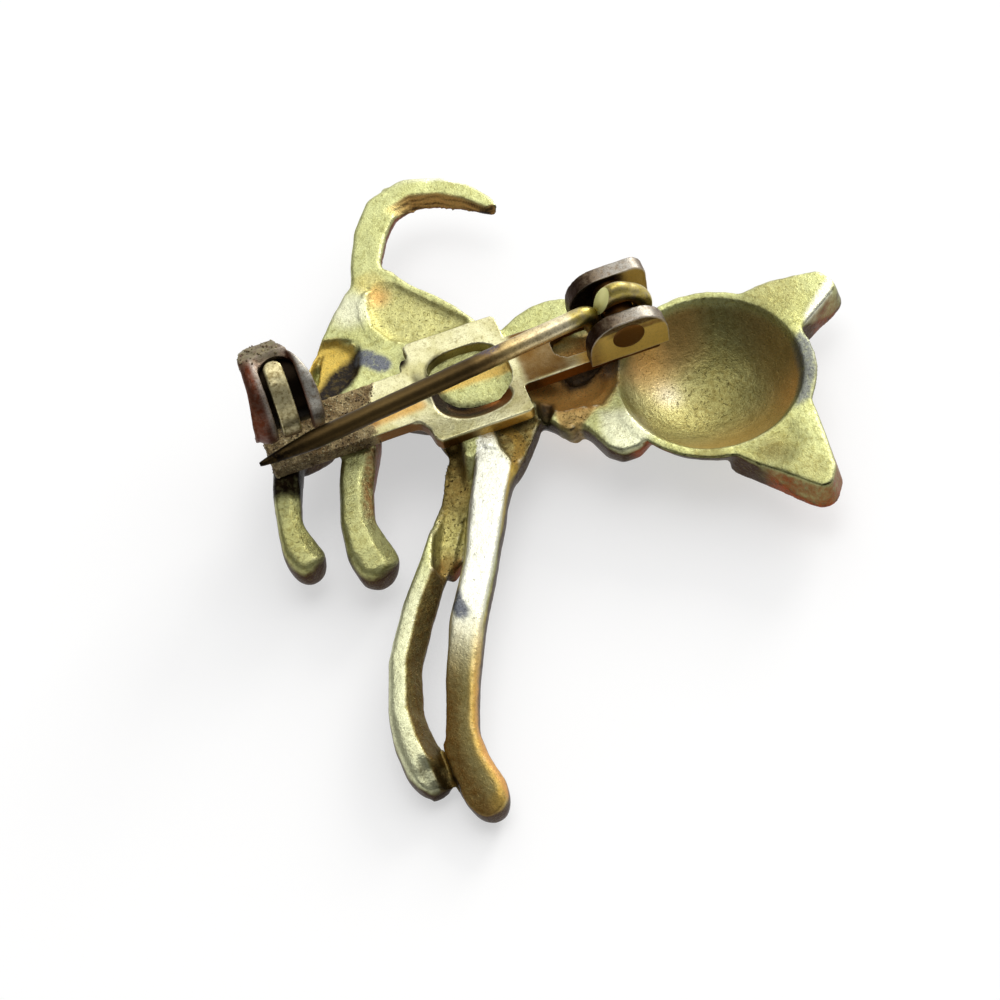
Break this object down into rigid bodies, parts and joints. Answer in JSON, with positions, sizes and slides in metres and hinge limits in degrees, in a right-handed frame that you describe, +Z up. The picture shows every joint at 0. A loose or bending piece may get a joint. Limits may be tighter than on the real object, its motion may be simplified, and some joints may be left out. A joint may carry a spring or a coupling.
{
  "type": "figural animal brooch",
  "caption": "Cast cat brooch lying on its front: dished head with two ears, hooked tail, long legs, and a soldered bar with a hinged pin, a curled catch and a turning lock.",
  "frame": {"origin": "centre of the brooch seen from above, at the height of the surface it lies on", "axes": "+Z up, out of the cat's back where the pin is; +X along the pin bar towards its hinge; +Y across the bar towards the tail"},
  "size_m": [0.0354, 0.0418, 0.0106],
  "materials": {
    "plated_casting": "pale gold plating, pitted and tarnished",
    "stem_wire": "plated wire, darkened towards the point",
    "rivet_brass": "worn plating",
    "lock_brass": "worn gold plating"
  },
  "bodies": {
    "brooch": {"cat_figure": "plated_casting", "joint_rivet": "rivet_brass"},
    "stem": {"pin_stem": "stem_wire"},
    "lock": {"catch_lock": "lock_brass"}
  },
  "joints": [
    {"name": "pin_open", "type": "hinge", "parent": "brooch", "child": "stem", "pos_m": [0.00471, 0.00445, 0.00665], "axis": [0, 1, 0], "range_deg": [0, 100]},
    {"name": "lock_turn", "type": "hinge", "parent": "brooch", "child": "lock", "pos_m": [-0.01459, 0.00585, 0.00783], "axis": [1, 0, 0], "range_deg": [0, 50]}
  ]
}
